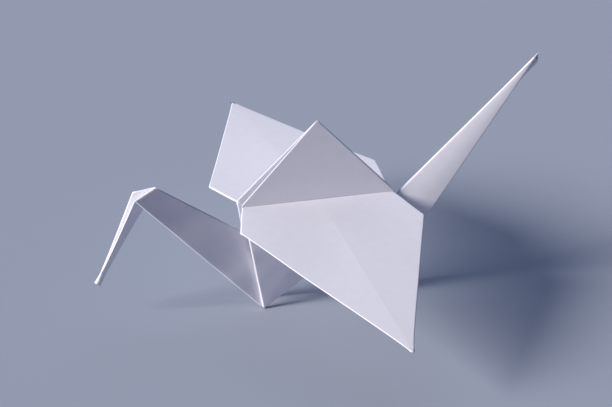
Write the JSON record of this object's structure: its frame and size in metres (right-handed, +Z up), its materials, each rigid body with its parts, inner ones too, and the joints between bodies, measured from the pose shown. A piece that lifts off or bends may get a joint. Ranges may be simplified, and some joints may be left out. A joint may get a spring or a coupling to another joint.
{
  "type": "origami crane",
  "caption": "Folded paper crane with spread wings, a pointed hump, a long neck with turned-down beak and a raised tail, standing on its body's lower corners.",
  "frame": {"origin": "middle of the crane's outline seen from above, on the surface its feet stand on", "axes": "+X forwards, along the neck to the head; +Y to the crane's left, along its left wing; +Z up"},
  "size_m": [0.0994, 0.1258, 0.0534],
  "materials": {
    "paper": "smooth matt white office paper"
  },
  "bodies": {
    "root": {"folded_sheet": "paper"}
  },
  "joints": []
}
